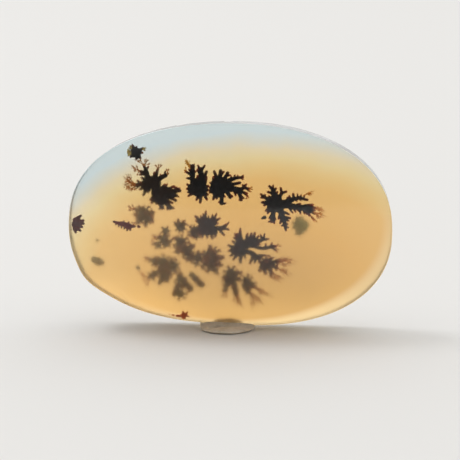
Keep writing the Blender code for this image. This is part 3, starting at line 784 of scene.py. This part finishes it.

# The grey moss close to the back: the deepest sprays, blurred by all the agate in front of them and
# greyed by a painted haze.
grow("moss_deep_upper_left", 11, veil=0.4, node="spray_deep_upper_left", lumps=[
    (165.6, 230.6, 3.6, 0.8), (164.2, 239.6, 5.4, 1.2), (158.6, 245.6, 3, 1), (167, 243.8, 3.6, 0.8),
], stems=[(162, 239, 155, 237.6, 1.6, 0.9, 0.8), (160, 243, 152.6, 243.8, 1.6, 0.9, 0.8)])
grow("moss_deep_left", 12, veil=0.36, node="spray_deep_left", lumps=[
    (181, 242.6, 6.2, 1.2), (186.4, 250.8, 6.4, 1.2), (189.6, 258, 4.4, 1), (178, 251.6, 2.6, 0.8),
], stems=[(189, 247, 194, 245.2, 1.6, 1, 0.8), (178, 240, 173, 238.4, 1.6, 1, 0.8)])
grow("moss_deep_centre", 13, veil=0.33, node="spray_deep_centre", lumps=[
    (198, 258, 4.6, 1), (196.6, 263.6, 2.6, 0.8), (208.6, 257.6, 6.6, 1.6), (214, 253, 4.4, 1.4),
    (212, 264.6, 5, 1.6),
], stems=[
    (209, 252, 210.6, 246.6, 1.8, 1.1, 1.2), (214, 258, 222.6, 257.8, 2.2, 1.1, 1.6),
    (213, 262, 221.4, 264.8, 1.9, 1.1, 1.4), (213, 266, 217.4, 273, 2.2, 1.3, 1.4),
    (210, 266, 207.6, 271.4, 2, 1.2, 1.2), (205, 263, 202.4, 268, 1.7, 1.1, 1),
    (198.6, 255, 198.6, 251.6, 1.6, 1, 0.8),
])
grow("moss_deep_lower_left", 14, veil=0.42, node="spray_deep_lower_left", lumps=[
    (163.6, 263.4, 7, 1.4), (172.6, 265.6, 6, 1), (164.4, 272.8, 6, 1.2), (155, 261.4, 3.4, 1),
    (151.8, 275.6, 3.8, 1),
], stems=[
    (155, 261, 147.6, 259, 1.8, 0.9, 1.2), (162, 276, 160, 283, 2.6, 1.6, 1.2),
    (166, 275, 167.4, 281, 2.6, 1.7, 1.2), (158, 272, 151, 276, 2.2, 1.6, 1),
    (174, 268, 175.6, 271.6, 2, 1.4, 1),
])
grow("moss_deep_lower_middle", 15, veil=0.4, node="spray_deep_lower_middle", lumps=[
    (180, 278.8, 4.2, 1), (178.6, 285.4, 4, 1), (179.8, 293.4, 4.8, 1.4),
], stems=[
    (182, 279, 191, 289, 3, 2.4, 1), (179, 277, 180.6, 273, 2, 1.2, 0.8),
    (178, 291, 173.6, 292.6, 1.8, 1.1, 1),
])
grow("moss_deep_lower_streak", 16, veil=0.42, node="spray_deep_lower_streak", stems=[
    (191.6, 274.6, 201.6, 285.2, 3, 2.4, 0.8),
])
grow("moss_deep_lower_right", 17, veil=0.33, node="spray_deep_lower_right", lumps=[
    (230.6, 272.4, 5, 1.4), (232.6, 278.4, 4.4, 1.2), (227, 281.4, 3.4, 1.2),
], stems=[
    (234, 274, 240.8, 272.6, 2, 1.1, 1.2), (229, 280, 225.2, 290, 2.4, 1.7, 1.4),
    (233, 280, 235.2, 293.2, 2.6, 1.9, 1.4), (235, 277, 238.6, 280.4, 1.7, 1.1, 1),
    (227, 275, 222.6, 277.4, 1.7, 1.1, 1),
])
grow("moss_deep_lower_right_lobe", 18, veil=0.36, node="spray_deep_lower_right_lobe", lumps=[
    (246.4, 280.4, 4.6, 1.2), (251.2, 284.2, 3.6, 1.2),
], stems=[
    (247, 283, 248.8, 292.4, 2.6, 1.7, 1.2), (244.6, 284, 243.8, 289, 1.8, 1.2, 1),
    (251, 284, 255.6, 286.4, 1.8, 1.1, 1),
])
grow("moss_deep_fleck_left", 19, veil=0.36, lumps=[(137.9, 267.8, 2)])
grow("moss_deep_cloud_right", 20, veil=0.74, deeper=3.2, lumps=[
    (299.6, 224.6, 6.4, 0.6), (304, 226, 4.8, 0.4), (299.4, 231, 4.4, 0.4),
])
grow("moss_deep_cloud_left", 21, veil=0.92, node="spray_deep_cloud_left", lumps=[
    (94, 259.6, 3.4), (98, 261.6, 4.4), (101.4, 262.4, 3),
])
grow("moss_deep_speck_left", 22, veil=0.4, lumps=[(97.2, 240.6, 1.3)])

# The iron threads: where the moss ran out, hair-fine rust-brown threads of iron oxide grew on from the
# twig tips in small fans.
THREAD_RADIUS = 0.36
THREAD_VOXEL = 0.019
FORK_PLACE = 0.55
FORK_LEANS = (-0.4, 0.4)
FORK_LONGEST = 4.0

iron_rust, tree, shader = new_material("iron_oxide_threads", Roughness=0.7)
shader.inputs["Specular IOR Level"].default_value = 0.1
# The threads' colour runs from yellow to pinkish brown with their veil amount, which on sides facing the
# back is a painted haze.
veil_amount = add_node(tree, "Attribute", {"attribute_name": "veil"}).outputs["Fac"]
veiled = add_node(
    tree, "Mix", MIX_COLOURS, {"Factor": veil_amount, "A": linear("FFD268"), "B": linear("D49068")}
)
tree.links.new(veiled.outputs["Result"], shader.inputs["Base Color"])


def grow_fans(name, seed, veil, fans, radius=THREAD_RADIUS, under_dome=None):
    """Grows the threads of some fans as one piece. Each thread bends a little and forks once each way."""
    moss = Moss(seed, 0.0, under_dome)
    for root, ends in fans:
        for end in ends:
            bend = moss.chance.uniform(-0.12, 0.12)
            dive = moss.chance.uniform(-0.12, 0.12)
            moss.branch(root, end, (radius * 1.1, radius * 0.85), (0.0, dive), (0.0, 1.0), bend)
            run = Vector((end[0] - root[0], end[1] - root[1]))
            fork = (root[0] + run.x * FORK_PLACE, root[1] + run.y * FORK_PLACE)
            for lean in FORK_LEANS:
                turn = math.atan2(run.y, run.x) + lean + moss.chance.uniform(-0.2, 0.2)
                length = min(FORK_LONGEST, run.length * 0.42) * moss.chance.uniform(0.7, 1.2)
                bud = (fork[0] + math.cos(turn) * length, fork[1] + math.sin(turn) * length)
                moss.branch(fork, bud, (radius * 0.9, radius * 0.8), (dive * 0.7, dive), (1.0, 1.0))
    moss.fused(name, iron_rust, THREAD_VOXEL, veil)


# Each piece has its seed and its veil amount, which sets its colour, and for each root (x, y) the ends of
# its threads.
grow_fans("rust_fan_upper_left", 61, veil=0.85, radius=0.46, under_dome=0.3, fans=[
    ((144, 165.5), [(137, 160.4), (139.4, 158.6), (145.2, 158.8), (147.8, 159.4), (150.3, 163.4)]),
    ((139.4, 170.8), [(131.2, 165.6), (133, 168.8), (136, 165.4), (133.5, 171), (137, 175.4)]),
    ((157.6, 169), [(155.4, 165), (159, 164.4), (162, 164.6)]),
    ((167.4, 174), [(168.8, 168.4), (166.2, 168.8)]),
    ((135.4, 184.2), [
        (123.3, 176.3), (125.3, 173.7), (128.4, 173.8), (124.8, 180.3), (122.8, 183.9), (123.3, 187.5),
        (126.8, 181.9), (128.4, 187), (128.9, 191), (134.5, 190.6), (123.6, 178.4), (126.6, 177),
        (125.6, 189.6), (131.4, 190.8),
    ]),
])
grow_fans("rust_fan_upper_middle", 62, veil=0.1, radius=0.48, fans=[
    ((190.4, 168.4), [(184.6, 159.6), (187.7, 160.1), (187.2, 163.7), (186, 161.4)]),
    ((187, 172), [(184.1, 169.8), (185.4, 166.8), (184.2, 172.4)]),
    ((248.4, 189.4), [(252, 186.6), (252.6, 189.2), (251.4, 192)]),
    ((246.4, 195.4), [(249, 198), (246.6, 199)]),
])
grow_fans("rust_fan_upper_right", 63, veil=0.1, radius=0.46, fans=[
    ((313.4, 208.6), [(319.9, 210.7), (322.9, 209.1), (325.5, 211.2), (318.3, 207.1)]),
    ((312.8, 212), [(319.3, 214.2), (326.5, 216.8), (323.4, 213.6), (321.4, 217.8), (318.8, 218.3)]),
    ((310.6, 215.4), [(312.7, 219.3), (316.8, 222.4), (314.2, 221.2)]),
    ((303.4, 195.8), [(309.8, 193.2), (314.6, 191), (312, 194.4)]),
])
grow_fans("rust_spines_hedgehog", 64, veil=0.2, radius=0.6, under_dome=0.42, fans=[
    ((131.6, 152.4), [(127.4, 151.4), (127.8, 149.6), (127.6, 153.4), (128, 155.8)]),
    ((132, 148.8), [(129.1, 147.6), (130.2, 145.6)]),
    ((142.6, 149), [(145.6, 148), (145.2, 150.2)]),
])
grow_fans("rust_fan_left_bush", 65, veil=0.8, radius=0.42, under_dome=0.8, fans=[
    ((134.6, 209.4), [(127.6, 205.9), (127.9, 210.5), (131.9, 204.8), (129.2, 208.2)]),
    ((136, 222), [(131, 223), (132.6, 225.6)]),
])
grow_fans("rust_fan_lower_centre", 66, veil=0.25, fans=[
    ((275.6, 247.6), [(281.8, 245.6), (279.5, 250.1), (278.7, 243.3), (277.4, 252.6)]),
])
grow_fans("rust_fan_lower_right", 67, veil=0.4, radius=0.46, fans=[
    ((276, 262), [(297.1, 261.6), (289.4, 256.3), (292.6, 258.8), (282.5, 257.8), (290.6, 265.6)]),
    ((276, 262.6), [(286.4, 260), (295, 264.4), (285.6, 266)]),
    ((274.6, 266), [(292.5, 274.6), (289.4, 276.9), (288, 270), (283.6, 272.4)]),
    ((271.4, 271), [(282.5, 283.8), (279.5, 278.5), (271.8, 279.4), (284.8, 279.2), (275.4, 281.6)]),
])
grow_fans("rust_fan_deep_lower_right", 68, veil=0.55, radius=0.5, fans=[
    ((253.6, 287), [(273.3, 296.8), (264.2, 290.2), (268.8, 294), (262.4, 294.8)]),
    ((250.6, 292), [(263.4, 304.5), (252.7, 310.6), (257.6, 302), (255, 306.4), (260.6, 299)]),
    ((236, 293), [(243.5, 308.3), (240.6, 302.6), (233, 301.6), (238, 306)]),
    ((225.4, 290), [(222, 297.4), (226.4, 298)]),
])
grow_fans("rust_fan_deep_left", 69, veil=0.6, radius=0.5, fans=[
    ((150, 277.6), [(141.1, 275.8), (143.6, 281.4), (146.4, 285.6), (138.8, 271.6)]),
    ((156, 238), [(151.6, 234.6), (150.8, 241.6)]),
    ((148.6, 259), [(144.4, 256.6), (143.6, 260.8)]),
])

# The iron stains: three small rust-red spots of haematite close under the surface of the stone, a
# scalloped one at the left rim, a feather left of the moss, and a fleck at the bottom edge.


def grow_stain(name, seed, colour, depth, lumps, stems):
    """Grows one stain of its own colour, at a fixed depth under the dome in millimetres."""
    stain_red, _, shader = new_material("haematite_" + name, Roughness=0.7)
    shader.inputs["Specular IOR Level"].default_value = 0.1
    shader.inputs["Base Color"].default_value = linear(colour)
    moss = Moss(seed, 0.0, depth)
    for lump in lumps:
        moss.lump(*lump)
    for stem in stems:
        moss.stem(*stem)
    moss.fused(name, stain_red, MOSS_VOXEL, 0.0)


grow_stain("stain_left_rim", 91, colour="6E1800", depth=0.22, lumps=[
    (75.6, 220.6, 3.4), (74.6, 224.6, 3.4), (75.4, 228.6, 3.2), (78.2, 218.4, 2.6), (78.6, 223.4, 3.4),
    (77.6, 227.6, 3),
], stems=[
    (77, 218.4, 80.8, 215.8, 1.8, 1.1), (79, 221, 83.4, 220.6, 1.7, 1.1),
    (79, 223.6, 83.6, 223.6, 1.7, 1.1), (78.6, 226, 82.2, 227, 1.7, 1.1), (77, 229, 80.4, 230.6, 1.7, 1),
    (75, 229, 75.6, 232.4, 1.8, 1.1),
])
grow_stain("stain_feather", 92, colour="7E2600", depth=0.22, lumps=[
    (129.4, 226.4, 3, 0.4), (125.6, 225.2, 2.7), (121.8, 224, 2.3),
], stems=[
    (113.8, 221.7, 121.4, 223.4, 1, 1.7), (121, 223.2, 129.4, 225.6, 1.8, 2.2),
    (129, 226, 134.6, 226.4, 1.7, 1), (116.4, 222, 115.8, 225, 0.9, 0.6), (119, 223, 118.6, 226.6, 1, 0.7),
    (121.6, 224, 121.4, 228, 1, 0.7), (124.6, 225, 124.2, 229, 1.1, 0.7),
    (127.4, 227, 127, 230.6, 1.2, 0.8), (130.4, 227.4, 130.6, 230.2, 1.1, 0.7),
    (122.6, 223.4, 124, 220.8, 0.8, 0.6), (127.4, 224.4, 129, 221.8, 0.9, 0.6),
    (138.4, 226.6, 139.4, 226.8, 1.3, 1.1),
])
grow_stain("stain_bottom_edge", 93, colour="FF9A50", depth=0.32, lumps=[
    (185.2, 315, 3.2, 0.4), (181.6, 315.8, 2.4, 0.4),
], stems=[
    (184, 316.4, 176.8, 315.6, 1.4, 1), (177.4, 316.4, 177, 315.4, 1, 0.7),
    (173.4, 315.2, 172.6, 315, 1, 0.8), (181, 316.8, 181.4, 315, 0.8, 0.6),
    (169.6, 314.2, 169, 314, 0.6, 0.5),
])

# The putty: a pea of pale modelling putty, rolled, set down and flattened by the stone that is pushed
# into it. It stands higher behind the stone, has a lip where it was squeezed up, and is creased in front.
PUTTY_FRONT_HEIGHT = 0.42
PUTTY_DETAIL = 7
PUTTY_COLOURS = ((0.35, "D9CBB4"), (0.65, "EFE4D2"))
PUTTY_MOTTLE = 0.9
PUTTY_GRAIN = 0.16
PUTTY_GRAIN_DEPTH = 0.03
PUTTY_WIDEST = 0.62
PUTTY_TUCK = 0.16
PUTTY_UNEVEN = 0.03
PUTTY_ROUNDING = (0.45, 0.8)
PUTTY_LUMPS = (1.1, 0.06)
PUTTY_WRINKLES = (0.45, 0.02)
LIP_HEIGHT = 0.13
LIP_WIDTH = 0.28
CONTACT_SLACK = 0.02
CREASE_ENDS = ((207.0, 328.6), (225.0, 326.6))
CREASE_DEPTH = 0.30
CREASE_WIDTH = 0.09

putty_low, putty_high = (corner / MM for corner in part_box("putty_rest"))
putty_middle = (putty_low + putty_high) / 2
putty_half = (putty_high - putty_low) / 2


def putty_height(y):
    """How high the putty stands at a place along Y: low before the stone and squeezed up behind it."""
    share = min(1.0, max(0.0, (y - putty_middle.y) / putty_half.y + 0.5))
    rise = share * share * (3 - 2 * share)
    return PUTTY_FRONT_HEIGHT + (putty_high.z - PUTTY_FRONT_HEIGHT) * rise


def pressed(point):
    """Where a point of a unit ball goes when the putty is pressed down: a flat foot and a soft top."""
    lift = math.asin(min(1.0, max(0.0, point.z)))
    level = math.hypot(point.x, point.y) or 1.0
    cosine, sine = point.x / level, point.y / level
    tuck = max(0.0, 1 - math.sin(lift) / PUTTY_WIDEST)
    reach = math.cos(lift) ** PUTTY_ROUNDING[0] * (1 - PUTTY_TUCK * tuck * tuck)
    uneven = 1 - PUTTY_UNEVEN * (1 - math.cos(3 * math.atan2(sine, cosine))) * abs(cosine)
    x = putty_middle.x + putty_half.x * reach * uneven * cosine
    y = putty_middle.y + putty_half.y * reach * sine
    return Vector((x, y, math.sin(lift) ** PUTTY_ROUNDING[1] * putty_height(y)))


def crease_share(place):
    """How far into the crease a place lies, from 0 outside it to 1 along its middle."""
    seen = place - looked_at
    pixel_x = PHOTO_SIDE / 2 + seen.dot(view_right) / PIXEL
    pixel_y = PHOTO_SIDE / 2 - seen.dot(view_up) / PIXEL
    (x0, y0), (x1, y1) = CREASE_ENDS
    share = (pixel_x - x0) / (x1 - x0)
    if place.y > putty_middle.y or not 0.0 < share < 1.0:
        return 0.0
    off = (pixel_y - y0 - (y1 - y0) * share) * PIXEL / CREASE_WIDTH
    return math.exp(-off * off) * math.sin(math.pi * share) ** 0.5


putty_shape = bmesh.new()
bmesh.ops.create_icosphere(putty_shape, subdivisions=PUTTY_DETAIL, radius=1.0)
everything = putty_shape.verts[:] + putty_shape.edges[:] + putty_shape.faces[:]
bmesh.ops.bisect_plane(
    putty_shape, geom=everything, plane_co=(0.0, 0.0, 0.0), plane_no=(0.0, 0.0, 1.0), clear_inner=True
)
foot = [edge for edge in putty_shape.edges if edge.is_boundary]
bmesh.ops.contextual_create(putty_shape, geom=foot)
for corner in putty_shape.verts:
    place = pressed(corner.co)
    share = min(1.0, place.z / PUTTY_FRONT_HEIGHT)
    _, _, _, gap = inner_sight.find_nearest(place)
    lumps = noise.noise(place / PUTTY_LUMPS[0]) * PUTTY_LUMPS[1]
    wrinkles = abs(noise.noise(place / PUTTY_WRINKLES[0])) * -PUTTY_WRINKLES[1]
    lip = LIP_HEIGHT * math.exp(-((gap / LIP_WIDTH) ** 2))
    push = Vector((0.0, 1.0, -0.4)) * CREASE_DEPTH * crease_share(place)
    place += Vector((0.0, 0.0, lumps + wrinkles + lip)) * share + push
    corner.co = (place.x, place.y, max(0.0, place.z))
bmesh.ops.recalc_face_normals(putty_shape, faces=putty_shape.faces)

# Pressed putty is matt, faintly mottled where it was kneaded, and finely grained.
putty_material, tree, shader = new_material("pressed_putty", Roughness=0.8)
where = add_node(tree, "TexCoord").outputs["Object"]
mottling = add_node(tree, "TexNoise", {}, {
    "Vector": where, "Scale": 1 / (PUTTY_MOTTLE * MM), "Detail": 4.0,
})
putty_colour = add_node(tree, "ValToRGB", {}, {"Fac": mottling})
colour_ramp(putty_colour, PUTTY_COLOURS)
fine_grain = add_node(tree, "TexNoise", {}, {
    "Vector": where, "Scale": 1 / (PUTTY_GRAIN * MM), "Detail": 3.0,
})
grainy = add_node(
    tree, "Bump", {}, {"Strength": 0.5, "Distance": PUTTY_GRAIN_DEPTH * MM, "Height": fine_grain}
)
tree.links.new(putty_colour.outputs["Color"], shader.inputs["Base Color"])
tree.links.new(grainy.outputs["Normal"], shader.inputs["Normal"])

groove_shape = stone_shape()
around_middle = Matrix.Translation(-stone_middle)
larger = [1 + 2 * CONTACT_SLACK / size for size in stone_size]
bmesh.ops.scale(groove_shape, verts=groove_shape.verts, vec=larger, space=around_middle)
groove = finished_piece("putty_groove_cutter", groove_shape, putty_material)
putty = finished_piece("putty_lump", putty_shape, putty_material)
cut = putty.modifiers.new("groove", "BOOLEAN")
cut.operation = "DIFFERENCE"
cut.solver = "EXACT"
cut.object = groove
putty.data = bpy.data.meshes.new_from_object(putty.evaluated_get(bpy.context.evaluated_depsgraph_get()))
putty.modifiers.clear()
bpy.data.objects.remove(groove, do_unlink=True)
putty.data.shade_smooth()
putty.data.set_sharp_from_angle(angle=math.radians(50))
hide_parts("putty_rest")

# The studio: a plain pale floor and plain soft light, brightest above and behind, and dim in front.
FLOOR_HALF = 3.0
FLOOR_COLOUR = "E4E2DE"
BRIGHT_SIDE = (0.0, 0.62, 0.74)
DIMMEST = 0.10
BRIGHTEST = 1.38

floor_material, tree, shader = new_material("matte_floor", Roughness=0.95)
shader.inputs["Base Color"].default_value = linear(FLOOR_COLOUR)
shape = bmesh.new()
bmesh.ops.create_grid(shape, x_segments=1, y_segments=1, size=FLOOR_HALF)
floor_mesh = bpy.data.meshes.new("floor")
shape.to_mesh(floor_mesh)
shape.free()
floor_mesh.materials.append(floor_material)
floor = bpy.data.objects.new("floor", floor_mesh)
bpy.context.scene.collection.objects.link(floor)

world = bpy.data.worlds.new("studio")
bpy.context.scene.world = world
world.use_nodes = True
tree = world.node_tree
around = add_node(tree, "TexCoord").outputs["Generated"]
lit_side = add_node(tree, "VectorMath", {"operation": "DOT_PRODUCT"}, {0: around, 1: BRIGHT_SIDE})
bright = add_node(tree, "MapRange", SMOOTH, {
    "Value": lit_side, "From Min": -0.3, "From Max": 1.0, "To Min": DIMMEST, "To Max": BRIGHTEST,
})
tree.nodes["Background"].inputs["Color"].default_value = (1.0, 1.0, 1.0, 1.0)
tree.links.new(bright.outputs["Result"], tree.nodes["Background"].inputs["Strength"])


def soft_light(name, place, size, power, colour):
    """A square area lamp at a place in metres that faces the stone."""
    light = bpy.data.lights.new(name, "AREA")
    light.shape = "SQUARE"
    light.size = size
    light.energy = power
    light.color = linear(colour)[:3]
    lamp = bpy.data.objects.new(name, light)
    lamp.location = place
    lamp.rotation_mode = "QUATERNION"
    lamp.rotation_quaternion = (Vector((0.0, 0.0, 0.01)) - Vector(place)).to_track_quat("-Z", "Y")
    bpy.context.scene.collection.objects.link(lamp)


soft_light("overhead", (-0.25, 0.12, 0.45), 0.16, 0.5, "F4F8FF")
